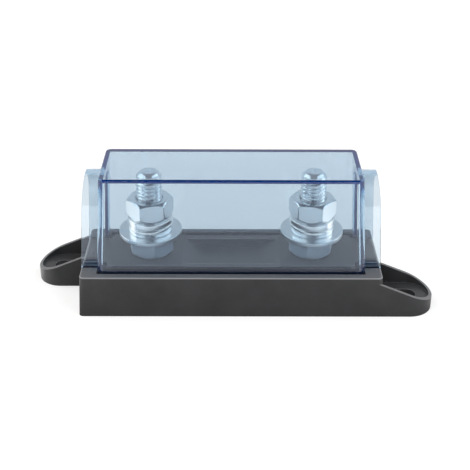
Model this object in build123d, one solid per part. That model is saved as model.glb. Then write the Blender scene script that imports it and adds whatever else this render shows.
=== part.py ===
from build123d import *
import math
import os

# Mega fuse holder: a black moulded base with two diagonal fixing ears, two M8 studs with
# their nuts and washers, and a clear lift-off cover with a cable hood at each end.
# Millimetres and degrees. X runs along the two studs, Z is up, and the front is towards -Y.
# The origin is the centre of the base's underside.

# Base moulding, measured at its deck
base_length = 93.6
base_depth = 32.6
base_height = 14.0
base_end_draft = 4.0
base_side_draft = 1.0
base_corner_radius = 1.4
base_edge_fillet = 0.4
base_wall = 2.2
deck_thickness = 3.0

# Plinth on the deck, inside the cover's foot
plinth_height = 0.9
plinth_clearance = 1.2
plinth_side_clearance = 2.4
plinth_edge_chamfer = 0.2
plinth_end_setback = 0.6

# Trough across the plinth, which clears the belly of the fuse
trough_width = 31.8
trough_depth = 3.7
trough_side_slope = 63.0
trough_rim = 2.2
trough_rim_drop = 0.4
trough_floor = 2.2

# Ribs and bosses of the hollow underside
rib_thickness = 1.6
rib_recess = 0.8
rib_pitch = 11.0
long_rib_count = 2
boss_wall = 2.0

# Fixing ears, one at the right front and one at the left rear
ear_width = 15.5
ear_reach = 64.1
ear_floor = 3.7
ear_rim = 1.1
ear_rim_drop_at_root = 2.6
ear_rim_height_at_tip = 4.1
slot_length = 9.0
slot_width = 5.2
slot_inset = 9.7

# Fuse studs and their M8 hardware
stud_pitch = 51.0
stud_diameter = 8.0
stud_top = 41.7
stud_chamfer = 1.0
stud_crown_height = 0.35
stud_crown_diameter = 4.4
across_flats = 13.0
nut_height = 6.6
bolt_head_height = 5.3
bolt_head_recess = 1.0
washer_diameter = 19.8
washer_thickness = 1.4
washer_edge_chamfer = 0.25
lock_washer_diameter = 14.1
lock_washer_thickness = 2.25
lock_washer_gap = 1.0
lock_washer_gap_slant = 20.0
hex_chamfer_angle = 30.0
base_nut_turn = -17.5
top_nut_turn = 10.0

# Clearances between pieces
thread_clearance = 0.05
washer_clearance = 0.25
shank_clearance = 0.2
head_clearance = 0.15
stud_roof_clearance = 1.8

# Clear cover, measured at its roof
cover_length = 79.2
cover_depth = 22.8
cover_end_draft = 3.8
cover_side_draft = 4.6
cover_corner_radius = 1.8
cover_edge_fillet = 0.5
cover_wall = 1.5

# Cable hoods of the cover
hood_radius = 9.4
hood_spring_height = 19.0
hood_side_draft = 2.4

# Heights and lengths that follow from the sizes above
plinth_top = base_height + plinth_height
cover_height = stud_top + stud_roof_clearance + cover_wall - base_height
washer_bottom = plinth_top + nut_height
lock_bottom = washer_bottom + washer_thickness
top_nut_bottom = lock_bottom + 2 * lock_washer_thickness
head_top = bolt_head_recess + bolt_head_height
hole_diameter = stud_diameter + 2 * washer_clearance
nut_bore = stud_diameter + 2 * thread_clearance
base_foot_depth = base_depth + 2 * base_height * math.tan(math.radians(base_side_draft))
stud_places = {"left": -stud_pitch / 2, "right": stud_pitch / 2}


def spread(height, draft):
    """How far one drafted face moves outwards over a height."""
    return height * math.tan(math.radians(draft))


def trapezoid_prism(plane, half_top, height, draft, foot_z, reach):
    """Prism on both sides of an upright plane, wider at its foot than at its top."""
    half_foot = half_top + spread(height, draft)
    top_z = foot_z + height
    outline = [(-half_foot, foot_z), (half_foot, foot_z), (half_top, top_z), (-half_top, top_z)]
    return extrude(plane * make_face(Polyline(*outline, close=True)), amount=reach, both=True)


def drafted_block(length, depth, height, radius, end_draft, side_draft, foot_z):
    """Block with the stated size at its top, drafted faces and rounded upright corners."""
    ends = trapezoid_prism(Plane.XZ, length / 2, height, end_draft, foot_z, length)
    sides = trapezoid_prism(Plane.YZ, depth / 2, height, side_draft, foot_z, length)
    block = ends & sides
    return fillet(block.edges().filter_by(lambda edge: edge.tangent_at(0.5).Z ** 2 > 0.5), radius)


def box_between(x0, x1, y0, y1, z0, z1):
    """Plain box from its two corners."""
    centre = Pos((x0 + x1) / 2, (y0 + y1) / 2, (z0 + z1) / 2)
    return centre * Box(x1 - x0, y1 - y0, z1 - z0)


def at_studs(solid):
    """The same solid at both studs, as one shape."""
    return Part() + [Pos(x, 0, 0) * solid for x in stud_places.values()]


def hex_prism(height, flats):
    """Hexagonal prism standing on z = 0, with two faces square to the Y axis."""
    return extrude(RegularPolygon(flats / 2, 6, major_radius=False, rotation=30), amount=height)


def hex_with_chamfer(height, both_ends):
    """Hexagonal head or nut blank whose corners are turned down to a cone at its ends."""
    corner = across_flats / 2 / math.cos(math.radians(30))
    flat_radius = across_flats / 2 * 0.96
    drop = (corner - flat_radius) * math.tan(math.radians(hex_chamfer_angle))
    foot = [(flat_radius, 0), (corner, drop)] if both_ends else [(corner, 0)]
    outline = [(0, 0), *foot, (corner, height - drop), (flat_radius, height), (0, height)]
    turned = revolve(Plane.XZ * make_face(Polyline(*outline, close=True)), axis=Axis.Z)
    return hex_prism(height, across_flats) & turned


# Fixing ears
def ear_plan(rim):
    """Tongue with a half-round end, drawn at z = 0 and set in by the rim."""
    radius = ear_width / 2 - rim
    centre_x = ear_reach - ear_width / 2
    centre_y = -(base_foot_depth - ear_width) / 2
    root_x = base_length / 2 - base_wall
    tongue = Pos((root_x + centre_x) / 2, centre_y) * Rectangle(centre_x - root_x, 2 * radius)
    return tongue + Pos(centre_x, centre_y) * Circle(radius)


def slot_place():
    """Centre of the right ear's slot, on the ear's own centre line."""
    return ear_reach - slot_inset, -(base_foot_depth - ear_width) / 2


def fixing_ear():
    """Right front ear: a floor with a rim whose top slopes down to the tip."""
    root_x = base_length / 2 - base_wall
    tip_x = ear_reach + 1
    rim_top = base_height - ear_rim_drop_at_root
    slope = (rim_top - ear_rim_height_at_tip) / (ear_reach - base_length / 2)
    profile = [(root_x, 0), (tip_x, 0), (tip_x, ear_rim_height_at_tip - slope),
               (root_x, rim_top + slope * base_wall)]
    under_slope = extrude(Plane.XZ * make_face(Polyline(*profile, close=True)),
                          amount=base_foot_depth, both=True)
    ear = extrude(ear_plan(0), amount=base_height, taper=base_side_draft) & under_slope
    ear -= Pos(0, 0, ear_floor) * extrude(ear_plan(ear_rim), amount=base_height)
    slot_x, slot_y = slot_place()
    ear -= Pos(slot_x, slot_y) * extrude(SlotOverall(slot_length, slot_width), amount=base_height)
    return ear


def turned_half(solid):
    """The solid and its copy turned half a turn about Z."""
    return Part() + [solid, Rot(0, 0, 180) * solid]


# Hollow underside
def underside_hollow():
    """Space inside the base's walls and below its deck."""
    height = base_height - deck_thickness
    length = base_length + 2 * spread(deck_thickness, base_end_draft) - 2 * base_wall
    depth = base_depth + 2 * spread(deck_thickness, base_side_draft) - 2 * base_wall
    return drafted_block(length, depth, height, base_corner_radius, base_end_draft,
                         base_side_draft, 0)


def underside_ribs():
    """Long ribs and cross ribs, with a round boss about each stud."""
    top = base_height
    reach = base_length / 2
    half_depth = base_depth / 2
    row_step = (base_depth - 2 * base_wall) / (long_rib_count + 1)
    rows = [(i + 1) * row_step - half_depth + base_wall for i in range(long_rib_count)]
    across = int(reach // rib_pitch)
    columns = [i * rib_pitch for i in range(-across, across + 1)]
    half = rib_thickness / 2
    ribs = Part() + [box_between(-reach, reach, y - half, y + half, rib_recess, top) for y in rows]
    ribs += [box_between(x - half, x + half, -half_depth, half_depth, rib_recess, top)
             for x in columns]
    boss_radius = across_flats / 2 / math.cos(math.radians(30)) + boss_wall
    boss = extrude(Circle(boss_radius), amount=top - rib_recess)
    return ribs + at_studs(Pos(0, 0, rib_recess) * boss)


# Plinth
def cover_inside_foot():
    """Length and depth of the cover's inside where it meets the deck."""
    length = cover_length + 2 * spread(cover_height, cover_end_draft) - 2 * cover_wall
    depth = cover_depth + 2 * spread(cover_height, cover_side_draft) - 2 * cover_wall
    return length, depth


def hood_half_width(rise):
    """Half the hood's outer width at a height above the deck, below its spring line."""
    return hood_radius + spread(hood_spring_height - rise, hood_side_draft)


def plinth():
    """Low step that fills the cover's foot, with a tongue under each cable hood."""
    length, depth = cover_inside_foot()
    main = RectangleRounded(length - 2 * plinth_clearance, depth - 2 * plinth_side_clearance,
                            cover_corner_radius)
    tongue_width = 2 * (hood_half_width(0) - cover_wall - plinth_clearance)
    plan = main + Rectangle(base_length - 2 * plinth_end_setback, tongue_width)
    step = extrude(plan, amount=plinth_height)
    step = chamfer(step.edges().group_by(Axis.Z)[-1], plinth_edge_chamfer)
    return Pos(0, 0, base_height) * step


# Trough
def trough_shape(half_width, depth, reach):
    """Prism along Y that hangs from the plinth's top and narrows downwards."""
    return trapezoid_prism(Plane.XZ, half_width, depth, -trough_side_slope, plinth_top - depth, reach)


def trough():
    """Hollow between two low rims, with a shallow notch over the rims."""
    half_depth = cover_inside_foot()[1] / 2 - plinth_side_clearance
    hollow = trough_shape(trough_width / 2, trough_depth, half_depth - trough_rim)
    return hollow + trough_shape(trough_width / 2, trough_rim_drop, base_depth)


def trough_shell():
    """Solid that keeps a floor and walls about the trough below the deck."""
    reach = cover_inside_foot()[1] / 2 - plinth_side_clearance
    return trough_shape(trough_width / 2 + trough_floor, trough_depth + trough_floor, reach)


# Base
def base():
    """One-piece moulded base with ears, plinth, trough, ribs, bosses and bolt head pockets."""
    block = drafted_block(base_length, base_depth, base_height, base_corner_radius,
                          base_end_draft, base_side_draft, 0)
    block = fillet(block.edges().group_by(Axis.Z)[-1], base_edge_fillet)
    hollow = underside_hollow()
    body = block + turned_half(fixing_ear()) - hollow
    body += (underside_ribs() + trough_shell()) & hollow
    body = body + plinth() - trough()
    body -= at_studs(hex_prism(head_top, across_flats + 2 * head_clearance))
    shank = extrude(Circle(stud_diameter / 2 + shank_clearance), amount=plinth_top)
    return body - at_studs(shank)


# Stud and its hardware, each centred on its own axis
def stud():
    """Hex-headed bolt standing up through the base, its end chamfered and then crowned."""
    radius = stud_diameter / 2
    shoulder = stud_top - stud_crown_height
    outline = [(0, head_top), (radius, head_top), (radius, shoulder - stud_chamfer),
               (radius - stud_chamfer, shoulder), (stud_crown_diameter / 2, stud_top), (0, stud_top)]
    shank = revolve(Plane.XZ * make_face(Polyline(*outline, close=True)), axis=Axis.Z)
    head = Pos(0, 0, head_top) * Rot(180, 0, 0) * hex_with_chamfer(bolt_head_height, False)
    return shank + head


def nut():
    """Hex nut standing on z = 0."""
    return hex_with_chamfer(nut_height, True) - extrude(Circle(nut_bore / 2), amount=nut_height)


def flat_washer():
    """Plain washer with its upper rim broken."""
    disc = extrude(Circle(washer_diameter / 2), amount=washer_thickness)
    disc = chamfer(disc.edges().group_by(Axis.Z)[-1], washer_edge_chamfer)
    return disc - extrude(Circle(hole_diameter / 2), amount=washer_thickness)


def lock_washer():
    """Spring washer with its slanted split towards the rear."""
    ring = extrude(Circle(lock_washer_diameter / 2) - Circle(hole_diameter / 2),
                   amount=lock_washer_thickness)
    reach = lock_washer_diameter
    split = Box(lock_washer_gap, reach, 3 * lock_washer_thickness)
    centre = Pos(0, reach / 2, lock_washer_thickness / 2)
    return ring - centre * Rot(0, lock_washer_gap_slant, 0) * split


# Cover
def hood_profile(inset):
    """Arch seen along X, set in from the outside by the inset."""
    foot_y = hood_half_width(0) - inset
    spring_y = hood_radius - inset
    spring_z = base_height + hood_spring_height
    crest = spring_z + spring_y
    sides = Polyline((-spring_y, spring_z), (-foot_y, base_height), (foot_y, base_height),
                     (spring_y, spring_z))
    arch = ThreePointArc((spring_y, spring_z), (0, crest), (-spring_y, spring_z))
    return Plane.YZ * make_face([sides, arch])


def hood_ends():
    """Prism that trims the hoods in line with the base's drafted ends."""
    half_top = base_length / 2 - spread(cover_height, base_end_draft)
    return trapezoid_prism(Plane.XZ, half_top, cover_height, base_end_draft, base_height, base_depth)


def cover():
    """Clear one-piece cover: a drafted box with an open cable hood at each end."""
    outside = drafted_block(cover_length, cover_depth, cover_height, cover_corner_radius,
                            cover_end_draft, cover_side_draft, base_height)
    outside = fillet(outside.edges().group_by(Axis.Z)[-1], cover_edge_fillet)
    inner_length = cover_length + 2 * spread(cover_wall, cover_end_draft) - 2 * cover_wall
    inner_depth = cover_depth + 2 * spread(cover_wall, cover_side_draft) - 2 * cover_wall
    inner_radius = max(cover_corner_radius - cover_wall, 0.4)
    inside = drafted_block(inner_length, inner_depth, cover_height - cover_wall, inner_radius,
                           cover_end_draft, cover_side_draft, base_height)
    hoods = extrude(hood_profile(0), amount=base_length / 2, both=True) & hood_ends()
    tunnel = extrude(hood_profile(cover_wall), amount=base_length, both=True)
    return (outside + hoods) - inside - tunnel


# Every piece, by the name of its file
pieces = {"base": base(), "cover": cover()}
for side, x in stud_places.items():
    place = Pos(x, 0, 0)
    mirrored = -math.copysign(1, x)
    base_nut = Rot(0, 0, mirrored * base_nut_turn) * nut()
    pieces[side + "_stud"] = place * stud()
    pieces[side + "_base_nut"] = place * Pos(0, 0, plinth_top) * base_nut
    pieces[side + "_flat_washer"] = place * Pos(0, 0, washer_bottom) * flat_washer()
    for level, z in (("lower", lock_bottom), ("upper", lock_bottom + lock_washer_thickness)):
        pieces[side + "_" + level + "_lock_washer"] = place * Pos(0, 0, z) * lock_washer()
    top_nut = Rot(0, 0, mirrored * top_nut_turn) * nut()
    pieces[side + "_top_nut"] = place * Pos(0, 0, top_nut_bottom) * top_nut

os.makedirs("parts", exist_ok=True)
for name, piece in pieces.items():
    export_step(piece, "parts/" + name + ".step")
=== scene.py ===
"""Looks of a bolt-down fuse holder: moulded base, clear cover, and zinc-plated stud hardware."""
import logging
import math
from dataclasses import dataclass
from enum import Enum

import bmesh
import bpy
import numpy as np
from mathutils import Matrix, Vector


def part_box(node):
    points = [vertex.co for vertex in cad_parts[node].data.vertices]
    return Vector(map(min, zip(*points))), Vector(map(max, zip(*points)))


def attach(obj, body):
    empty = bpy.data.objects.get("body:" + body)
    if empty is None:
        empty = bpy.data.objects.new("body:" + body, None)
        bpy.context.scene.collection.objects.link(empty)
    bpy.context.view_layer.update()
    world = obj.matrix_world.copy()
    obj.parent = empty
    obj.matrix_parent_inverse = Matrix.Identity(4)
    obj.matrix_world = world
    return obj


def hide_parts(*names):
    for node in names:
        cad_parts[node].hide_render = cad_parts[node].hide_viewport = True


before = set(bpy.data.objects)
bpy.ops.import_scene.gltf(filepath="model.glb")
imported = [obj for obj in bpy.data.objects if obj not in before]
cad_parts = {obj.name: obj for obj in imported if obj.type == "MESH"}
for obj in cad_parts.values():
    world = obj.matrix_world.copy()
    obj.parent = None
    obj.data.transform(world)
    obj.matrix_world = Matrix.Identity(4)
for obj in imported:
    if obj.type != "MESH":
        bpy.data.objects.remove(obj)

MM = 0.001
TURN = 2 * math.pi
MERGE_REACH = 0.001 * MM
FLAT_LIMIT = 1e-6
log = logging.getLogger("fuse_holder")


class Side(Enum):
    """The two ends of the holder, with the sign of their X."""

    LEFT = -1
    RIGHT = 1

    @property
    def word(self) -> str:
        """The side's name as the pieces use it."""
        return self.name.lower()


# Surfaces
def level_turn(count: int) -> np.ndarray:
    """Even angles round a full turn, without the last one that closes it."""
    return np.linspace(0, TURN, count, endpoint=False)


def gathered_turn(count: int, corners: int, gather: float, turn: float) -> np.ndarray:
    """Angles round a full turn that crowd towards a polygon's corners.

    Each is its even share of the turn, less gather over the number of corners times the
    sine of that many times the share.

    Args:
        count: How many angles.
        corners: How many corners the polygon has.
        gather: From 0, even, to just under 1, tight.
        turn: Angle of the first corner.

    Returns:
        The angles, in radians.
    """
    even = level_turn(count)
    return turn + even - gather / corners * np.sin(corners * even)


def hexagon_reach(angles: np.ndarray, flats: float, turn: float, sharpness: float) -> np.ndarray:
    """Distance from the axis to a hexagon's sides, its corners a little rounded.

    The cosines of the angles to the six face normals are raised to the sharpness and
    summed; the sum to the power of minus one over the sharpness scales half the flats.

    Args:
        angles: Angles about the axis.
        flats: Width across the flats.
        turn: Angle of one corner.
        sharpness: The power; a higher one leaves sharper corners.

    Returns:
        One distance for each angle.
    """
    normals = turn + (np.arange(6) + 0.5) * TURN / 6
    reach = np.clip(np.cos(angles[:, None] - normals[None, :]), 0, None)
    return flats / 2 * (reach ** sharpness).sum(axis=1) ** (-1 / sharpness)


def soft_least(first: np.ndarray, second: np.ndarray, sharpness: float) -> np.ndarray:
    """The lesser of two radii, rounded where they cross.

    It is the sum of both to the power of minus the sharpness, to the power of minus one
    over the sharpness.

    Args:
        first: Some radii.
        second: Other radii, of a shape that goes with the first.
        sharpness: The power; a higher one rounds less.

    Returns:
        The softened lesser radii.
    """
    largest = np.maximum(first, second)
    scale = np.minimum(first, second)
    return scale * (1 + (scale / largest) ** sharpness) ** (-1 / sharpness)


def turned(radii: np.ndarray, heights: np.ndarray, angles: np.ndarray, x: float) -> np.ndarray:
    """Points of a surface about an upright axis.

    Each point lies at its radius and height along its angle: x plus radius times cosine,
    radius times sine, height.

    Args:
        radii: Radii, rows by angles, or one for each row.
        heights: Heights, rows by angles, or one for each row.
        angles: Angles about the axis.
        x: Where the axis stands.

    Returns:
        Points, rows by angles by three.
    """
    shape = (len(radii), len(angles))
    spread = np.broadcast_to(radii if radii.ndim == 2 else radii[:, None], shape)
    height = np.broadcast_to(heights if heights.ndim == 2 else heights[:, None], shape)
    return np.stack([x + spread * np.cos(angles), spread * np.sin(angles), height], axis=-1)


def grid_faces(rows: int, columns: int, rows_close: bool, columns_close: bool) -> np.ndarray:
    """Four-sided faces of a grid of points, which may close on itself either way.

    Args:
        rows: Rows of points.
        columns: Points in a row.
        rows_close: Whether the last row joins the first.
        columns_close: Whether each row's last point joins its first.

    Returns:
        Faces by four, as numbers of points.
    """
    numbers = np.arange(rows * columns).reshape(rows, columns)
    if rows_close:
        numbers = np.vstack([numbers, numbers[:1]])
    if columns_close:
        numbers = np.hstack([numbers, numbers[:, :1]])
    corners = (numbers[:-1, :-1], numbers[:-1, 1:], numbers[1:, 1:], numbers[1:, :-1])
    return np.stack(corners, axis=-1).reshape(-1, 4)


def enclosed_volume(points: np.ndarray, faces: np.ndarray) -> float:
    """Signed volume inside four-sided faces, from the triple products of their halves.

    Args:
        points: Points by three.
        faces: Faces by four, as numbers of points.

    Returns:
        The volume, negative where the faces point inwards.
    """
    first, second, third, fourth = (points[faces[:, i]] for i in range(4))
    halves = np.cross(second, third) * first + np.cross(third, fourth) * first
    return float(halves.sum()) / 6


def closed_mesh(name: str, points: np.ndarray, faces: np.ndarray,
                ends: tuple[np.ndarray, ...] = (), sharp: float = 35.0) -> bpy.types.Object:
    """Makes a mesh object from a closed surface, with its faces pointing outwards.

    Args:
        name: The piece's name.
        points: Points, in any shape that ends in three.
        faces: Four-sided faces, as numbers of points.
        ends: Many-sided faces that close the two ends of a swept piece.
        sharp: Edges that turn by more than this many degrees stay sharp.

    Returns:
        The new object, linked to the scene.
    """
    flat = points.reshape(-1, 3)
    inside_out = enclosed_volume(flat - flat.mean(axis=0), faces) < 0
    loops = [face[::-1] if inside_out else face for face in [*faces, *ends]]
    mesh = bpy.data.meshes.new(name)
    mesh.from_pydata(flat.tolist(), [], [loop.tolist() for loop in loops])
    finish_mesh(mesh, sharp)
    piece = bpy.data.objects.new(name, mesh)
    bpy.context.scene.collection.objects.link(piece)
    return piece


def finish_mesh(mesh: bpy.types.Mesh, sharp: float) -> None:
    """Merges points that coincide, and shades the mesh smooth except at its sharp edges.

    Args:
        mesh: The mesh.
        sharp: Edges that turn by more than this many degrees stay sharp.
    """
    work = bmesh.new()
    work.from_mesh(mesh)
    bmesh.ops.remove_doubles(work, verts=work.verts, dist=MERGE_REACH)
    work.to_mesh(mesh)
    work.free()
    mesh.shade_smooth()
    mesh.set_sharp_from_angle(angle=math.radians(sharp))


def read(collection: object, key: str, width: int, kind: type = float) -> np.ndarray:
    """Reads one property of every item of a mesh collection.

    Args:
        collection: The mesh's vertices, edges, loops or faces.
        key: The property's name.
        width: How many numbers each item has.
        kind: The numbers' type.

    Returns:
        One row for each item, or one number where the width is 1.
    """
    values = np.empty(len(collection) * width, dtype=kind)
    collection.foreach_get(key, values)
    return values.reshape(-1, width) if width > 1 else values


def flat_regions(normals: np.ndarray, pairs: np.ndarray) -> np.ndarray:
    """Numbers the flat regions of a mesh.

    Neighbouring faces whose normals agree take the lower of their numbers until no number
    changes.

    Args:
        normals: One normal for each face.
        pairs: Numbers of the two faces at each edge.

    Returns:
        The region number of each face.
    """
    level = (normals[pairs[:, 0]] * normals[pairs[:, 1]]).sum(axis=1) > 1 - FLAT_LIMIT
    first, second = pairs[level].T
    regions = np.arange(len(normals))
    settled = False
    while not settled:
        lower = np.minimum(regions[first], regions[second])
        after = regions.copy()
        np.minimum.at(after, first, lower)
        np.minimum.at(after, second, lower)
        after = after[after]
        settled = bool((after == regions).all())
        regions = after
    return regions


def steady_normals(mesh: bpy.types.Mesh, sharp: float) -> None:
    """Shades curves smooth while flat faces stay exactly flat.

    At each corner the normals of the faces that meet there within the sharp angle are
    summed, each weighted by the cube of the area of the flat region that it belongs to.

    Args:
        mesh: The mesh, whose faces are all triangles.
        sharp: Faces that differ by more than this many degrees aren't blended.
    """
    normals = read(mesh.polygons, "normal", 3)
    areas = read(mesh.polygons, "area", 1)
    corner_vertex = read(mesh.loops, "vertex_index", 1, int)
    corner_edge = read(mesh.loops, "edge_index", 1, int)
    corner_face = np.repeat(np.arange(len(normals)), read(mesh.polygons, "loop_total", 1, int))
    by_edge = np.argsort(corner_edge, kind="stable")
    edge = corner_edge[by_edge]
    same = np.flatnonzero(edge[1:] == edge[:-1])
    pairs = np.stack([corner_face[by_edge[same]], corner_face[by_edge[same + 1]]], axis=1)
    regions = flat_regions(normals, pairs)
    weight = (np.bincount(regions, weights=areas)[regions] / areas.max()) ** 3

    by_vertex = np.argsort(corner_vertex, kind="stable")
    counts = np.bincount(corner_vertex)
    starts = np.cumsum(counts) - counts
    share = counts[corner_vertex]
    here = np.repeat(np.arange(len(corner_vertex)), share)
    step = np.arange(share.sum()) - np.repeat(np.cumsum(share) - share, share)
    there = by_vertex[starts[corner_vertex[here]] + step]
    other = corner_face[there]
    alike = (normals[corner_face[here]] * normals[other]).sum(axis=1)
    factor = np.where(alike > math.cos(math.radians(sharp)), weight[other], 0)
    blended = np.stack([np.bincount(here, weights=factor * normals[other, axis])
                        for axis in range(3)], axis=1)
    blended /= np.linalg.norm(blended, axis=1)[:, None]
    mesh.normals_split_custom_set(blended.tolist())


def merged_copy(node: str, name: str, sharp: float) -> bpy.types.Object:
    """Copies a solid's mesh and joins its loose triangles, so that curves shade smooth.

    Args:
        node: The solid's node.
        name: The piece's name.
        sharp: Edges that turn by more than this many degrees stay sharp.

    Returns:
        The new object, linked to the scene.
    """
    piece = bpy.data.objects.new(name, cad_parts[node].data.copy())
    piece.data.name = name
    piece.data.materials.clear()
    bpy.context.scene.collection.objects.link(piece)
    finish_mesh(piece.data, sharp)
    steady_normals(piece.data, sharp)
    return piece


def place(piece: bpy.types.Object, finish: bpy.types.Material, body: str, slot: str,
          *nodes: str) -> None:
    """Gives a piece its finish and its body, and reports it.

    Args:
        piece: The piece.
        finish: The material that it wears.
        body: The body that it moves with.
        slot: The record's material slot; not used.
        nodes: The solids that it stands for.
    """
    piece.data.materials.append(finish)
    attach(piece, body)
    if nodes:
        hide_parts(*nodes)
    log.info("%s rides on %s: %d faces", piece.name, body, len(piece.data.polygons))


# Shader groups
BLOTCH_RANGE = (0.3, 0.7)
EDGE_SAMPLES = 6
AIR_REACH = 3.0
AIR_RANGE = (0.6, 0.85)


class Wires:
    """A node tree with short ways to add nodes and join them."""

    def __init__(self, tree: bpy.types.NodeTree) -> None:
        """Keeps the tree and empties it."""
        self.tree = tree
        tree.nodes.clear()

    def add(self, kind: str, values: dict[str, object] | None = None,
            **settings: object) -> bpy.types.Node:
        """Adds a node.

        Args:
            kind: The node's type, without the words ShaderNode.
            values: Fixed values or incoming sockets, by the names of the node's inputs.
            settings: The node's own settings.

        Returns:
            The new node.
        """
        node = self.tree.nodes.new("ShaderNode" + kind)
        for key, value in settings.items():
            setattr(node, key, value)
        for key, value in (values or {}).items():
            self.feed(node.inputs[key], value)
        return node

    def feed(self, socket: bpy.types.NodeSocket, value: object) -> None:
        """Joins a socket to another one, or sets it to a fixed value.

        Args:
            socket: The input to feed.
            value: The socket that feeds it, or its fixed value.
        """
        if isinstance(value, bpy.types.NodeSocket):
            self.tree.links.new(value, socket)
        else:
            socket.default_value = value

    def math(self, kind: str, first: object, second: object = 0.0,
             clamp: bool = False) -> bpy.types.NodeSocket:
        """Works one or two values out into another.

        Args:
            kind: The Math node's operation.
            first: The first value or socket.
            second: The second one, for operations that take two.
            clamp: Whether the result is held from 0 to 1.

        Returns:
            The socket of the result.
        """
        node = self.tree.nodes.new("ShaderNodeMath")
        node.operation = kind
        node.use_clamp = clamp
        self.feed(node.inputs[0], first)
        self.feed(node.inputs[1], second)
        return node.outputs[0]

    def both(self, first: object, second: object) -> bpy.types.NodeSocket:
        """The product of two values, which for two masks is where both hold."""
        return self.math("MULTIPLY", first, second)

    def ranged(self, value: object, low: float, high: float, to_low: float,
               to_high: float) -> bpy.types.NodeSocket:
        """Carries a value from one range to another, and holds it inside.

        Args:
            value: The value or socket.
            low: Start of its range.
            high: End of its range.
            to_low: What the start becomes.
            to_high: What the end becomes.

        Returns:
            The socket of the result.
        """
        node = self.add("MapRange", {"Value": value, "From Min": low, "From Max": high,
                                     "To Min": to_low, "To Max": to_high})
        return node.outputs["Result"]

    def blend(self, share: object, first: object, second: object) -> bpy.types.NodeSocket:
        """Blends two colours.

        Args:
            share: How much of the second one shows, from 0 to 1.
            first: The first colour or socket.
            second: The second one.

        Returns:
            The socket of the blended colour.
        """
        node = self.add("Mix", data_type="RGBA")
        self.feed(node.inputs["Factor"], share)
        self.feed(node.inputs["A"], first)
        self.feed(node.inputs["B"], second)
        return node.outputs["Result"]


def new_group(name: str, inputs: dict[str, float], outputs: dict[str, str]) -> Wires:
    """Starts a shader group with its sockets made.

    Args:
        name: The group's name.
        inputs: Number inputs and their usual values.
        outputs: Outputs and their socket types.

    Returns:
        The group's node tree, ready to wire.
    """
    tree = bpy.data.node_groups.new(name, "ShaderNodeTree")
    wires = Wires(tree)
    for key, value in inputs.items():
        socket = tree.interface.new_socket(key, in_out="INPUT", socket_type="NodeSocketFloat")
        socket.default_value = value
    for key, kind in outputs.items():
        tree.interface.new_socket(key, in_out="OUTPUT", socket_type=kind)
    return wires


def grain_group() -> bpy.types.NodeTree:
    """Fine grain: the height of a pebbled surface, and slow blotches of light and dark.

    Returns:
        The group's tree.
    """
    wires = new_group("grain", {"Grain Size": 0.3, "Blotch Size": 9.0},
                      {"Height": "NodeSocketFloat", "Blotch": "NodeSocketFloat"})
    given = wires.tree.nodes.new("NodeGroupInput")
    where = wires.add("TexCoord").outputs["Object"]
    fine_scale = wires.math("DIVIDE", 1 / MM, given.outputs["Grain Size"])
    wide_scale = wires.math("DIVIDE", 1 / MM, given.outputs["Blotch Size"])
    fine = wires.add("TexNoise", {"Vector": where, "Scale": fine_scale, "Detail": 2.0,
                                  "Roughness": 0.55})
    wide = wires.add("TexNoise", {"Vector": where, "Scale": wide_scale, "Detail": 3.0,
                                  "Roughness": 0.6})
    out = wires.tree.nodes.new("NodeGroupOutput")
    wires.feed(out.inputs["Height"], fine.outputs["Fac"])
    wires.feed(out.inputs["Blotch"], wires.ranged(wide.outputs["Fac"], *BLOTCH_RANGE, 0.0, 1.0))
    return wires.tree


def edge_group() -> bpy.types.NodeTree:
    """Edges: a normal that rounds them, and a mask of where they are.

    The mask is one less the cosine between the rounded normal and the surface's own, times
    how open the air is round the point, times the gain.

    Returns:
        The group's tree.
    """
    wires = new_group("edges", {"Radius": 0.2 * MM, "Gain": 4.0},
                      {"Normal": "NodeSocketVector", "Mask": "NodeSocketFloat"})
    given = wires.tree.nodes.new("NodeGroupInput")
    rounded = wires.add("Bevel", {"Radius": given.outputs["Radius"]}, samples=EDGE_SAMPLES)
    plain = wires.add("NewGeometry").outputs["Normal"]
    alike = wires.add("VectorMath", operation="DOT_PRODUCT")
    wires.feed(alike.inputs[0], rounded.outputs["Normal"])
    wires.feed(alike.inputs[1], plain)
    apart = wires.math("SUBTRACT", 1.0, alike.outputs["Value"])
    open_air = wires.add("AmbientOcclusion", samples=EDGE_SAMPLES)
    wires.feed(open_air.inputs["Distance"], wires.both(given.outputs["Radius"], AIR_REACH))
    outward = wires.ranged(open_air.outputs["AO"], *AIR_RANGE, 0.0, 1.0)
    mask = wires.math("MULTIPLY", wires.both(apart, outward), given.outputs["Gain"], clamp=True)
    out = wires.tree.nodes.new("NodeGroupOutput")
    wires.feed(out.inputs["Normal"], rounded.outputs["Normal"])
    wires.feed(out.inputs["Mask"], mask)
    return wires.tree


@dataclass
class SharedEffects:
    """The shader groups that more than one finish uses."""

    grain: bpy.types.NodeTree
    edges: bpy.types.NodeTree

    def use(self, wires: Wires, tree: bpy.types.NodeTree,
            values: dict[str, float]) -> bpy.types.Node:
        """Places a group in a material.

        Args:
            wires: The material's tree.
            tree: The group's tree.
            values: The material's own values for the group's inputs.

        Returns:
            The group's node.
        """
        node = wires.tree.nodes.new("ShaderNodeGroup")
        node.node_tree = tree
        for key, value in values.items():
            node.inputs[key].default_value = value
        return node


# Finishes
Colour = tuple[float, float, float, float]


def new_material(name: str) -> tuple[bpy.types.Material, Wires, bpy.types.Node]:
    """Starts a material.

    Args:
        name: The material's name.

    Returns:
        The material, its tree ready to wire, and its output node.
    """
    material = bpy.data.materials.new(name)
    material.use_nodes = True
    wires = Wires(material.node_tree)
    return material, wires, wires.add("OutputMaterial")


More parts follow.
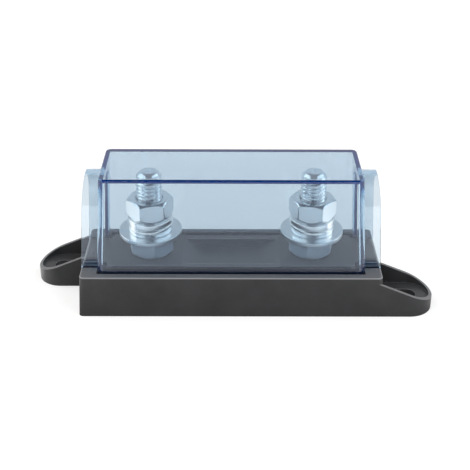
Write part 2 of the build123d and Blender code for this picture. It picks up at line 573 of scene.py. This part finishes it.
@dataclass(frozen=True)
class MouldedPlastic:
    """Black moulded plastic with a fine eroded texture, highlights painted on its edges, and shade
    and a sheen painted on strips of its top.
    """

    name: str = "moulded_black"
    colour: Colour = (0.052, 0.0523, 0.054, 1.0)
    pale: Colour = (0.064, 0.0645, 0.067, 1.0)
    # Painted highlight: the pale colour laid on the rounded edges.
    edge: Colour = (0.42, 0.425, 0.44, 1.0)
    roughness: tuple[float, float] = (0.30, 0.38)
    gloss: float = 0.3
    grain_size: float = 0.22
    grain_height: float = 0.012 * MM
    edge_radius: float = 0.3 * MM
    edge_gain: float = 12.0
    edge_highlight_share: float = 0.7
    # Painted shade: the strip round the plinth, inside the cover's foot, is darkened and its gloss
    # taken away.
    moat_painted_shade: Colour = (0.003, 0.0035, 0.005, 1.0)
    moat_roughness: float = 0.95
    moat_outside: tuple[float, float] = (41.7 * MM, 13.95 * MM)
    moat_inside: tuple[float, float] = (38.8 * MM, 9.95 * MM)
    moat_levels: tuple[float, float] = (13.55 * MM, 14.8 * MM)
    # Painted sheen: a lighter colour on the deck strip outside the cover and the top of the base's
    # outer faces.
    painted_sheen: Colour = (0.125, 0.127, 0.135, 1.0)
    lean_from: tuple[float, float] = (0.2, 0.45)
    lean_to: tuple[float, float] = (0.85, 0.96)

    def masks(self, wires: Wires) -> tuple[bpy.types.NodeSocket, ...]:
        """Masks of the strip round the plinth painted with shade, the strip painted with a sheen,
        and the rounded edges painted with highlights.

        Both strips lie between the two levels. The shaded one is within the outer half sizes but
        not within the inner half sizes, and the one with the sheen is outside the outer half sizes.
        So are the rounded edges, where the surface leans back but is not level.

        Args:
            wires: The material's tree.

        Returns:
            The sockets of the three masks, in that order.
        """
        at = wires.add("SeparateXYZ", {"Vector": wires.add("TexCoord").outputs["Object"]}).outputs
        x, y = wires.math("ABSOLUTE", at["X"]), wires.math("ABSOLUTE", at["Y"])
        around = wires.both(wires.math("LESS_THAN", x, self.moat_outside[0]),
                            wires.math("LESS_THAN", y, self.moat_outside[1]))
        core = wires.both(wires.math("LESS_THAN", x, self.moat_inside[0]),
                          wires.math("LESS_THAN", y, self.moat_inside[1]))
        level = wires.both(wires.math("GREATER_THAN", at["Z"], self.moat_levels[0]),
                           wires.math("LESS_THAN", at["Z"], self.moat_levels[1]))
        beyond = wires.math("SUBTRACT", 1.0, around)
        normal = wires.add("SeparateXYZ", {"Vector": wires.add("TexCoord").outputs["Normal"]})
        leaning = wires.both(wires.ranged(normal.outputs["Z"], *self.lean_from, 0.0, 1.0),
                             wires.ranged(normal.outputs["Z"], *self.lean_to, 1.0, 0.0))
        return (wires.both(wires.math("SUBTRACT", around, core, clamp=True), level),
                wires.both(beyond, level), wires.both(beyond, leaning))

    def material(self, effects: SharedEffects) -> bpy.types.Material:
        """Builds the material.

        Args:
            effects: The shared shader groups.

        Returns:
            The material.
        """
        material, wires, out = new_material(self.name)
        grain = effects.use(wires, effects.grain, {"Grain Size": self.grain_size})
        edges = effects.use(wires, effects.edges, {"Radius": self.edge_radius,
                                                   "Gain": self.edge_gain})
        body = wires.blend(grain.outputs["Blotch"], self.colour, self.pale)
        moat_shade_mask, painted_sheen, rounded = self.masks(wires)
        # Painted highlight on the edges, from the edge mask (which fades where the air is closed
        # in) or the leaning faces outside the cover.
        edge_highlight = wires.both(wires.math("MAXIMUM", edges.outputs["Mask"], rounded), self.edge_highlight_share)
        # Painted sheen on the strip outside the cover, under the painted edge highlight.
        colour = wires.blend(edge_highlight, wires.blend(painted_sheen, body, self.painted_sheen), self.edge)
        # Painted shade on the strip round the plinth.
        colour = wires.blend(moat_shade_mask, colour, self.moat_painted_shade)
        bump = wires.add("Bump", {"Height": grain.outputs["Height"],
                                  "Normal": edges.outputs["Normal"],
                                  "Strength": 1.0, "Distance": self.grain_height})
        rough = wires.ranged(grain.outputs["Blotch"], 0.0, 1.0, *self.roughness)
        rough = wires.math("MAXIMUM", rough, wires.both(moat_shade_mask, self.moat_roughness))
        shader = wires.add("BsdfPrincipled", {"Base Color": colour, "Roughness": rough,
                                              "Specular IOR Level": self.gloss,
                                              "Normal": bump.outputs["Normal"]})
        wires.feed(out.inputs["Surface"], shader.outputs["BSDF"])
        return material


@dataclass(frozen=True)
class ClearPlastic:
    """Clear pale blue plastic that darkens to deep blue where light runs along its walls."""

    name: str = "clear_blue"
    roughness: float = 0.015
    ior: float = 1.57
    colour: Colour = (0.96, 0.93, 0.92, 1.0)
    soaked: Colour = (0.0, 0.48, 0.96, 1.0)
    density: float = 240.0
    glow: Colour = (0.0, 0.22, 1.0, 1.0)
    glow_density: float = 85.0
    gloss: float = 0.22
    shade: Colour = (0.93, 0.93, 0.93, 1.0)

    def material(self) -> bpy.types.Material:
        """Builds the material, which lets the lamps' light straight in.

        Returns:
            The material.
        """
        material, wires, out = new_material(self.name)
        clear = wires.add("BsdfPrincipled", {"Base Color": self.colour, "IOR": self.ior,
                                             "Roughness": self.roughness,
                                             "Specular IOR Level": self.gloss,
                                             "Transmission Weight": 1.0})
        straight = wires.add("BsdfTransparent", {"Color": self.shade})
        path = wires.add("LightPath")
        mix = wires.add("MixShader", {"Fac": path.outputs["Is Shadow Ray"]})
        wires.feed(mix.inputs[1], clear.outputs["BSDF"])
        wires.feed(mix.inputs[2], straight.outputs["BSDF"])
        wires.feed(out.inputs["Surface"], mix.outputs["Shader"])
        soak = wires.add("VolumeAbsorption", {"Color": self.soaked, "Density": self.density})
        scatter = wires.add("VolumeScatter", {"Color": self.glow, "Density": self.glow_density})
        inside = wires.add("AddShader")
        wires.feed(inside.inputs[0], soak.outputs["Volume"])
        wires.feed(inside.inputs[1], scatter.outputs["Volume"])
        wires.feed(out.inputs["Volume"], inside.outputs["Shader"])
        return material


@dataclass(frozen=True)
class FrostedFoot:
    """Matt foot of the cover, pale where the mould left it unpolished."""

    name: str = "frosted_foot"
    colour: Colour = (0.62, 0.74, 0.84, 1.0)
    cloud: Colour = (0.78, 0.86, 0.93, 1.0)
    roughness: tuple[float, float] = (0.55, 0.70)
    grain_size: float = 0.3

    def material(self, effects: SharedEffects) -> bpy.types.Material:
        """Builds the material.

        Args:
            effects: The shared shader groups.

        Returns:
            The material.
        """
        material, wires, out = new_material(self.name)
        grain = effects.use(wires, effects.grain, {"Grain Size": self.grain_size})
        colour = wires.blend(grain.outputs["Blotch"], self.colour, self.cloud)
        rough = wires.ranged(grain.outputs["Blotch"], 0.0, 1.0, *self.roughness)
        shader = wires.add("BsdfPrincipled", {"Base Color": colour, "Roughness": rough})
        wires.feed(out.inputs["Surface"], shader.outputs["BSDF"])
        return material


@dataclass(frozen=True)
class ZincPlate:
    """Bright zinc plate with a faint blue cast, cloudy where the passivation is thicker."""

    name: str
    roughness: tuple[float, float]
    colour: Colour = (0.68, 0.76, 0.81, 1.0)
    cloud: Colour = (0.75, 0.78, 0.80, 1.0)
    metallic: float = 1.0
    grain_size: float = 0.5
    blotch_size: float = 2.5
    grain_height: float = 0.002 * MM
    edge_radius: float = 0.12 * MM

    def material(self, effects: SharedEffects) -> bpy.types.Material:
        """Builds the material.

        Args:
            effects: The shared shader groups.

        Returns:
            The material.
        """
        material, wires, out = new_material(self.name)
        grain = effects.use(wires, effects.grain, {"Grain Size": self.grain_size,
                                                   "Blotch Size": self.blotch_size})
        edges = effects.use(wires, effects.edges, {"Radius": self.edge_radius})
        colour = wires.blend(grain.outputs["Blotch"], self.colour, self.cloud)
        bump = wires.add("Bump", {"Height": grain.outputs["Height"],
                                  "Normal": edges.outputs["Normal"],
                                  "Strength": 1.0, "Distance": self.grain_height})
        rough = wires.ranged(grain.outputs["Blotch"], 0.0, 1.0, *self.roughness)
        shader = wires.add("BsdfPrincipled", {"Base Color": colour, "Roughness": rough,
                                              "Metallic": self.metallic,
                                              "Normal": bump.outputs["Normal"]})
        wires.feed(out.inputs["Surface"], shader.outputs["BSDF"])
        return material


# Sub-assemblies
@dataclass
class BaseMoulding:
    """The one-piece black base with its plinth, ears and ribs."""

    finish: bpy.types.Material
    sharp: float = 28.0

    def build(self) -> None:
        """Dresses the base moulding."""
        piece = merged_copy("base", "base_moulding", self.sharp)
        place(piece, self.finish, "base", "base_plastic", "base")


@dataclass
class ClearCover:
    """The clear lift-off cover with a cable hood at each end."""

    finish: bpy.types.Material
    foot_finish: bpy.types.Material
    sharp: float = 28.0
    foot_depth: float = 0.05 * MM

    def build(self) -> None:
        """Dresses the cover, with its foot left matt from the mould."""
        piece = merged_copy("cover", "clear_cover", self.sharp)
        place(piece, self.finish, "cover", "cover_plastic", "cover")
        self.frost_foot(piece.data)

    def frost_foot(self, mesh: bpy.types.Mesh) -> None:
        """Gives the second finish to the faces that lie on the cover's lowest level.

        Args:
            mesh: The cover's mesh.
        """
        mesh.materials.append(self.foot_finish)
        heights = read(mesh.polygons, "center", 3)[:, 2]
        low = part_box("cover")[0].z
        mesh.polygons.foreach_set("material_index",
                                  (heights < low + self.foot_depth).astype(np.int32))


@dataclass
class StudHardware:
    """One threaded stud with its two nuts, flat washer and pair of spring washers."""

    side: Side
    plain: bpy.types.Material
    bright: bpy.types.Material
    dull: bpy.types.Material
    sprung: bpy.types.Material
    flats: float = 13.0 * MM
    chamfer_angle: float = math.radians(30)
    chamfer_share: float = 0.96
    corner_sharpness: float = 90.0
    chamfer_sharpness: float = 90.0
    corner_gather: float = 0.85
    nut_columns: int = 240
    side_rows: int = 34
    bolt_head: float = 5.3 * MM
    stud_radius: float = 4.0 * MM
    bore_radius: float = 4.05 * MM
    hole_radius: float = 4.25 * MM
    bore_chamfer: float = 0.35 * MM
    base_nut_turn: float = math.radians(-17.5)
    top_nut_turn: float = math.radians(10)
    pitch: float = 1.25 * MM
    thread_depth: float = 0.62 * MM
    crest_share: float = 1 / 8
    root_share: float = 1 / 4
    rows_per_pitch: int = 14
    thread_columns: int = 144
    end_chamfer: float = 1.0 * MM
    crown_height: float = 0.35 * MM
    crown_radius: float = 2.2 * MM
    crown_power: float = 1.5
    crown_rows: int = 12
    shank_gap: float = 0.2 * MM
    washer_columns: int = 160
    split_columns: int = 120
    washer_rim_top: float = 0.2 * MM
    washer_rim_foot: float = 0.12 * MM
    lock_rim: float = 0.42 * MM
    lock_split: float = math.radians(9)
    lock_slant: float = math.radians(20)
    lock_tilt: float = 0.5 * MM
    lock_parting: float = 0.16 * MM
    foot_angle: float = math.radians(45)
    foot_share: float = 0.93

    def __post_init__(self) -> None:
        """Reads from the frame where this side's pieces stand."""
        parts = ("stud", "base_nut", "flat_washer", "lower_lock_washer", "upper_lock_washer",
                 "top_nut")
        self.boxes = {part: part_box(self.node(part)) for part in parts}
        low, high = self.boxes["flat_washer"]
        self.x = (low.x + high.x) / 2

    def node(self, part: str) -> str:
        """The name of one of this side's solids."""
        return f"{self.side.word}_{part}"

    def levels(self, part: str) -> tuple[float, float]:
        """The lowest and highest level of one of this side's solids."""
        low, high = self.boxes[part]
        return low.z, high.z

    def build(self) -> None:
        """Builds and dresses every piece of this stud."""
        nut_body = f"{self.side.word}_nut"
        lock_body = f"{self.side.word}_lock_washer"
        mirrored = -self.side.value
        self.dress(self.stud(), self.bright, "base", "stud")
        base_nut = self.nut("base_nut", mirrored * self.base_nut_turn)
        self.dress(base_nut, self.dull, "base", "base_nut")
        self.dress(self.flat_washer(), self.plain, "base", "flat_washer")
        lower, upper = self.lock_washers()
        self.dress(lower, self.sprung, "base", "lower_lock_washer")
        self.dress(upper, self.sprung, lock_body, "upper_lock_washer")
        top_nut = self.nut("top_nut", mirrored * self.top_nut_turn)
        self.dress(top_nut, self.bright, nut_body, "top_nut")

    def dress(self, piece: bpy.types.Object, finish: bpy.types.Material, body: str,
              part: str) -> None:
        """Finishes a piece that stands for one of this side's solids."""
        place(piece, finish, body, "zinc_plate", self.node(part))

    def side_reach(self, angles: np.ndarray, up: np.ndarray, height: float,
                   turn: float) -> np.ndarray:
        """Radius of a hexagon's side where a cone trims its corners above, and another below.

        A cone's radius is its share of half the flats plus the distance from that end over
        the tangent of its angle; the softest of both cones and the hexagon is taken.

        Args:
            angles: Angles about the axis.
            up: Height above the lower end, for each row.
            height: The side's whole height.
            turn: Angle of one corner.

        Returns:
            Radii, rows by angles.
        """
        hexagon = hexagon_reach(angles, self.flats, turn, self.corner_sharpness)
        hexagon = np.broadcast_to(hexagon, (len(up), len(angles)))
        crown = self.chamfer_share * self.flats / 2 + (height - up) / math.tan(self.chamfer_angle)
        foot = self.foot_share * self.flats / 2 + up / math.tan(self.foot_angle)
        side = soft_least(hexagon, crown[:, None], self.chamfer_sharpness)
        return soft_least(side, foot[:, None], self.chamfer_sharpness)

    def nut(self, part: str, turn: float) -> bpy.types.Object:
        """Hexagonal nut, chamfered above and below, with a countersunk bore.

        Its cross-section runs out along the lower face, up the side, in along the upper
        face and down the bore; it is carried round the axis with the hexagon's reach.

        Args:
            part: The solid that it stands for.
            turn: Angle of one corner.

        Returns:
            The new piece.
        """
        low, high = self.levels(part)
        height = high - low
        angles = gathered_turn(self.nut_columns, 6, self.corner_gather, turn)
        up = height * (1 - np.cos(np.linspace(0, math.pi, self.side_rows))) / 2
        side = self.side_reach(angles, up, height, turn)
        mouth = self.bore_radius + self.bore_chamfer
        middle = (mouth + self.foot_share * self.flats / 2) / 2
        even = np.ones((1, len(angles)))
        radii = np.vstack([mouth * even, middle * even, side, middle * even, mouth * even,
                           self.bore_radius * even, self.bore_radius * even])
        heights = low + np.concatenate([[0, 0], up, [height, height, height - self.bore_chamfer,
                                                     self.bore_chamfer]])
        points = turned(radii, heights, angles, self.x)
        faces = grid_faces(*points.shape[:2], rows_close=True, columns_close=True)
        return closed_mesh(self.node(part) + "_plated", points, faces)

    def thread_reach(self, heights: np.ndarray, angles: np.ndarray) -> np.ndarray:
        """Radius of a screw thread.

        A point's phase is its height over the pitch less its share of the turn; the radius
        falls from the crest to the root in straight flanks as the phase nears one half.

        Args:
            heights: Heights of the rows.
            angles: Angles about the axis.

        Returns:
            Radii, rows by angles.
        """
        phase = (heights[:, None] / self.pitch - angles[None, :] / TURN) % 1
        nearness = np.abs(2 * phase - 1)
        flank = (nearness - self.root_share) / (1 - self.crest_share - self.root_share)
        return self.stud_radius - self.thread_depth * (1 - np.clip(flank, 0, 1))

    def stud(self) -> bpy.types.Object:
        """Hex-headed bolt with a rolled thread and a crowned end.

        It is one surface about the axis: the head's hexagon, a plain shank, the thread
        held inside the end chamfer, and a crown that falls with a power of the radius.

        Returns:
            The new piece.
        """
        low, high = self.levels("stud")
        head_top = low + self.bolt_head
        thread_foot = self.levels("base_nut")[1]
        shoulder = high - self.crown_height
        end_radius = self.stud_radius - self.end_chamfer
        angles = level_turn(self.thread_columns)
        even = np.ones((1, len(angles)))
        head = low + (head_top - low) * (1 - np.cos(np.linspace(0, math.pi, self.side_rows))) / 2
        head_reach = self.side_reach(angles, head - low, head_top - low, 0.0)
        steps = int((shoulder - thread_foot) / self.pitch * self.rows_per_pitch)
        screw = np.linspace(thread_foot, shoulder, steps)
        hold = np.minimum(self.stud_radius, end_radius + shoulder - screw)[:, None]
        screw_reach = np.minimum(self.thread_reach(screw, angles), hold)
        shares = np.linspace(1, 0, self.crown_rows)[1:]
        flat = self.crown_radius / end_radius
        fall = np.clip((shares - flat) / (1 - flat), 0, 1) ** self.crown_power
        crown = shoulder + self.crown_height * (1 - fall)
        radii = np.vstack([0 * even, head_reach[:1] * 0.5, head_reach, self.stud_radius * even,
                           self.stud_radius * even, screw_reach,
                           end_radius * shares[:, None] * even])
        heights = np.concatenate([[low, low], head, [head_top, thread_foot - self.shank_gap],
                                  screw, crown])
        points = turned(radii, heights, angles, self.x)
        faces = grid_faces(*points.shape[:2], rows_close=False, columns_close=True)
        return closed_mesh(self.node("stud") + "_threaded", points, faces)

    def rim_loop(self, inner: float, outer: float, rims: tuple[float, float, float, float],
                 steps: int = 7) -> tuple[np.ndarray, np.ndarray]:
        """Closed cross-section of a washer, its four rims rounded by quarter ellipses.

        Args:
            inner: Radius of the hole.
            outer: Outer radius.
            rims: Rounding of the outer foot, outer top, inner top and inner foot, each in
                millimetres across and in shares of the thickness upwards.
            steps: Points on each quarter.

        Returns:
            Radii, and heights as shares of the thickness.
        """
        quarter = np.linspace(0, math.pi / 2, steps)
        corners = ((outer, 0, 1, 1, -math.pi / 2), (outer, 1, 1, -1, 0.0),
                   (inner, 1, -1, -1, math.pi / 2), (inner, 0, -1, 1, math.pi))
        radii, shares = [], []
        for (radius, level, out, up, start), rim in zip(corners, rims):
            radii.append(radius - out * rim * MM + rim * MM * np.cos(start + quarter))
            shares.append(level + up * rim + rim * np.sin(start + quarter))
        return np.concatenate(radii), np.concatenate(shares)

    def flat_washer(self) -> bpy.types.Object:
        """Stamped flat washer, rounder on its upper rim: its cross-section turned once round.

        Returns:
            The new piece.
        """
        low, high = self.levels("flat_washer")
        left, right = (corner.x for corner in self.boxes["flat_washer"])
        thick = (high - low) / MM
        rims = tuple(rim / MM / thick for rim in (self.washer_rim_foot, self.washer_rim_top,
                                                  self.washer_rim_foot, self.washer_rim_foot))
        radii, shares = self.rim_loop(self.hole_radius, (right - left) / 2, rims)
        angles = level_turn(self.washer_columns)
        points = turned(radii, low + shares * (high - low), angles, self.x)
        faces = grid_faces(*points.shape[:2], rows_close=True, columns_close=True)
        return closed_mesh(self.node("flat_washer") + "_plated", points, faces)

    def lock_washers(self) -> tuple[bpy.types.Object, bpy.types.Object]:
        """Two spring washers whose shared seam leans across the stack.

        The seam's height is its middle level plus the tilt times the cosine of the angle.

        Returns:
            The lower piece and the upper one.
        """
        low, middle = self.levels("lower_lock_washer")
        high = self.levels("upper_lock_washer")[1]
        lean = -self.side.value * self.lock_tilt
        half_gap = self.lock_parting / 2
        lower = self.split_ring("lower_lock_washer", (low, 0.0), (middle - half_gap, lean))
        upper = self.split_ring("upper_lock_washer", (middle + half_gap, lean), (high, 0.0))
        return lower, upper

    def split_ring(self, part: str, foot: tuple[float, float],
                   top: tuple[float, float]) -> bpy.types.Object:
        """Spring washer: a rounded section carried round from one side of its split to the other.

        Its lower and upper faces' heights are their levels plus their tilts times the cosine
        of the angle, and the ends lean with the height.

        Args:
            part: The solid that it stands for.
            foot: Level and tilt of its lower face.
            top: Level and tilt of its upper face.

        Returns:
            The new piece.
        """
        left, right = (corner.x for corner in self.boxes[part])
        thick = (top[0] - foot[0]) / MM
        rims = (self.lock_rim / MM / thick,) * 4
        radii, shares = self.rim_loop(self.hole_radius, (right - left) / 2, rims, steps=5)
        slant = (shares - 0.5) * thick * MM * math.tan(self.lock_slant) / radii.mean()
        along = np.linspace(0, 1, self.split_columns)[None, :]
        start = math.pi / 2 + self.lock_split / 2 - slant[:, None]
        angles = start + (TURN - self.lock_split) * along
        lower = foot[0] + foot[1] * np.cos(angles)
        upper = top[0] + top[1] * np.cos(angles)
        heights = lower + shares[:, None] * (upper - lower)
        points = np.stack([self.x + radii[:, None] * np.cos(angles),
                           radii[:, None] * np.sin(angles), heights], axis=-1)
        rows, columns = points.shape[:2]
        faces = grid_faces(rows, columns, rows_close=True, columns_close=False)
        numbers = np.arange(rows * columns).reshape(rows, columns)
        ends = (numbers[:, 0], numbers[::-1, -1])
        return closed_mesh(self.node(part) + "_sprung", points, faces, ends)


# Studio
@dataclass(frozen=True)
class Softbox:
    """A soft rectangular lamp that faces the middle of the object."""

    name: str
    spot: tuple[float, float, float]
    power: float
    colour: tuple[float, float, float]
    size: tuple[float, float] = (1.8, 0.75)

    def build(self) -> None:
        """Adds the lamp."""
        data = bpy.data.lights.new(self.name, "AREA")
        data.shape = "RECTANGLE"
        data.size, data.size_y = self.size
        data.energy = self.power
        data.color = self.colour
        lamp = bpy.data.objects.new(self.name, data)
        turn = Vector(self.spot).to_track_quat("Z", "Y").to_matrix().to_4x4()
        lamp.matrix_world = Matrix.Translation(self.spot) @ turn
        bpy.context.scene.collection.objects.link(lamp)


@dataclass
class Studio:
    """White floor, soft lamps and the camera at the photograph's viewing angle."""

    image_size: float = 470.0
    sensor: float = 36.0
    focal_pixels: float = 924.83
    location: tuple[float, float, float] = (-0.388 * MM, -256.932 * MM, 165.595 * MM)
    look_down: float = math.radians(29.527)
    look_aside: float = math.radians(0.359)
    roll: float = math.radians(0.302)
    floor_half: float = 3.0
    light_bounces: int = 48
    ambient: float = 0.35
    backdrop_reach: tuple[float, float] = (0.55, 0.85)
    backdrop_side: tuple[float, float] = (-0.45, 0.1)
    backdrop_level: tuple[float, float] = (0.06, 1.0)
    floor_fade: tuple[float, float] = (28 * MM, 38 * MM)
    floor_near_share: float = 0.85
    floor_near_front: float = 16 * MM
    floor_oval: float = 2.2
    side_glow: float = 0.55
    side_reach: tuple[float, float] = (40 * MM, 58 * MM)
    side_depth: tuple[float, float] = (5 * MM, 20 * MM)
    floor_paint: Colour = (0.8, 0.8, 0.8, 1.0)
    shown_paint: Colour = (0.6, 0.6, 0.6, 1.0)
    shown_glow: float = 0.56
    dark: Colour = (0.0, 0.0, 0.0, 1.0)
    white: Colour = (1.0, 1.0, 1.0, 1.0)
    softboxes: tuple[Softbox, ...] = (
        Softbox("left_softbox", (-0.80, -0.16, 0.80), 9.4, (1.0, 0.975, 0.95)),
        Softbox("right_softbox", (0.80, -0.16, 0.80), 8.6, (0.97, 0.985, 1.0)))

    def build(self) -> None:
        """Sets up the whole studio."""
        self.camera()
        self.floor()
        self.world()
        for softbox in self.softboxes:
            softbox.build()
        scene = bpy.context.scene
        scene.view_settings.view_transform = "Standard"
        scene.cycles.max_bounces = self.light_bounces
        scene.cycles.transmission_bounces = self.light_bounces

    def camera(self) -> None:
        """Places the camera, whose lens comes from the focal length in image pixels."""
        lens = bpy.data.cameras.new("camera")
        lens.sensor_width = self.sensor
        lens.lens = self.sensor * self.focal_pixels / self.image_size
        lens.clip_start, lens.clip_end = 0.01, 20.0
        eye = bpy.data.objects.new("camera", lens)
        down, aside = self.look_down, self.look_aside
        ahead = np.array([math.sin(aside) * math.cos(down), math.cos(aside) * math.cos(down),
                          -math.sin(down)])
        right = np.cross(ahead, (0, 0, 1))
        right /= np.linalg.norm(right)
        up = np.cross(right, ahead)
        tilted_right = right * math.cos(self.roll) + up * math.sin(self.roll)
        tilted_up = up * math.cos(self.roll) - right * math.sin(self.roll)
        turn = Matrix(np.stack([tilted_right, tilted_up, -ahead], axis=1).tolist())
        eye.matrix_world = Matrix.Translation(self.location) @ turn.to_4x4()
        bpy.context.scene.collection.objects.link(eye)
        bpy.context.scene.camera = eye

    def floor(self) -> None:
        """Lays a pale floor that shows white round the object and keeps its shadow."""
        half = self.floor_half
        mesh = bpy.data.meshes.new("floor")
        corners = [(-half, -half, 0), (half, -half, 0), (half, half, 0), (-half, half, 0)]
        mesh.from_pydata(corners, [], [(0, 1, 2, 3)])
        floor = bpy.data.objects.new("floor", mesh)
        bpy.context.scene.collection.objects.link(floor)
        mesh.materials.append(self.floor_material())

    def floor_material(self) -> bpy.types.Material:
        """Builds the floor's material.

        It glows a little for the camera and in reflections, more to the left and right there.
        In reflections it is dark within an oval in front of the object.

        Returns:
            The material.
        """
        material, wires, out = new_material("pale_floor")
        path = wires.add("LightPath").outputs
        at = wires.add("SeparateXYZ", {"Vector": wires.add("TexCoord").outputs["Object"]}).outputs
        mirrored = wires.math("MAXIMUM", path["Is Glossy Ray"], path["Is Transmission Ray"])
        seen = wires.math("MAXIMUM", path["Is Camera Ray"], mirrored)
        beside = wires.both(wires.ranged(wires.math("ABSOLUTE", at["X"]), *self.side_reach,
                                         0.0, self.side_glow),
                            wires.ranged(at["Y"], *self.side_depth, 1.0, 0.0))
        strength = wires.math("ADD", wires.both(beside, mirrored), self.shown_glow)
        lit = wires.add("BsdfDiffuse", {"Color": self.floor_paint})
        both = wires.add("AddShader")
        wires.feed(both.inputs[0], wires.add("BsdfDiffuse", {"Color": self.shown_paint}).outputs[0])
        wires.feed(both.inputs[1], wires.add("Emission", {"Color": self.white,
                                                          "Strength": strength}).outputs[0])
        mix = wires.add("MixShader", {"Fac": seen})
        wires.feed(mix.inputs[1], lit.outputs["BSDF"])
        wires.feed(mix.inputs[2], both.outputs["Shader"])
        aside = wires.math("DIVIDE", at["X"], self.floor_oval)
        ahead = wires.math("ADD", at["Y"], self.floor_near_front)
        away = wires.math("SQRT", wires.math("ADD", wires.both(aside, aside),
                                             wires.both(ahead, ahead)))
        near = wires.ranged(away, *self.floor_fade, self.floor_near_share, 0.0)
        faded = wires.add("MixShader", {"Fac": wires.both(path["Is Glossy Ray"], near)})
        wires.feed(faded.inputs[1], mix.outputs["Shader"])
        wires.feed(faded.inputs[2], wires.add("BsdfDiffuse", {"Color": self.dark}).outputs["BSDF"])
        wires.feed(out.inputs["Surface"], faded.outputs["Shader"])
        material.cycles.emission_sampling = "NONE"
        return material

    def world(self) -> None:
        """Soft light from all round, which mirrors as bright behind and low, and else dark."""
        world = bpy.data.worlds.new("studio")
        bpy.context.scene.world = world
        world.use_nodes = True
        world.cycles.sampling_method = "NONE"
        wires = Wires(world.node_tree)
        way = wires.add("SeparateXYZ", {"Vector": wires.add("TexCoord").outputs["Generated"]})
        low = wires.ranged(way.outputs["Z"], *self.backdrop_reach, 1.0, 0.0)
        behind = wires.ranged(way.outputs["Y"], *self.backdrop_side, 0.0, 1.0)
        shown = wires.ranged(wires.both(low, behind), 0.0, 1.0, *self.backdrop_level)
        path = wires.add("LightPath").outputs
        mirrored = wires.math("MAXIMUM", path["Is Glossy Ray"], path["Is Transmission Ray"])
        level = wires.add("Mix", {"Factor": mirrored, "A": self.ambient, "B": shown})
        sky = wires.add("Background", {"Color": self.white, "Strength": level.outputs["Result"]})
        out = wires.add("OutputWorld")
        wires.feed(out.inputs["Surface"], sky.outputs["Background"])


def main() -> None:
    """Builds the sub-assemblies in order, then the studio."""
    logging.basicConfig(level=logging.INFO, format="%(name)s: %(message)s")
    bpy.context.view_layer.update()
    effects = SharedEffects(grain_group(), edge_group())
    plain = ZincPlate("zinc_plain", roughness=(0.26, 0.36)).material(effects)
    bright = ZincPlate("zinc_bright", roughness=(0.14, 0.22)).material(effects)
    dull = ZincPlate("zinc_dull", colour=(0.66, 0.76, 0.86, 1.0), cloud=(0.72, 0.79, 0.86, 1.0),
                     roughness=(0.42, 0.52), metallic=0.6).material(effects)
    sprung = ZincPlate("zinc_sprung", colour=(0.90, 0.90, 0.90, 1.0),
                       cloud=(0.94, 0.94, 0.93, 1.0), roughness=(0.16, 0.26)).material(effects)
    BaseMoulding(MouldedPlastic().material(effects)).build()
    ClearCover(ClearPlastic().material(), FrostedFoot().material(effects)).build()
    for side in Side:
        StudHardware(side, plain, bright, dull, sprung).build()
    Studio().build()


if __name__ == "__main__":
    main()
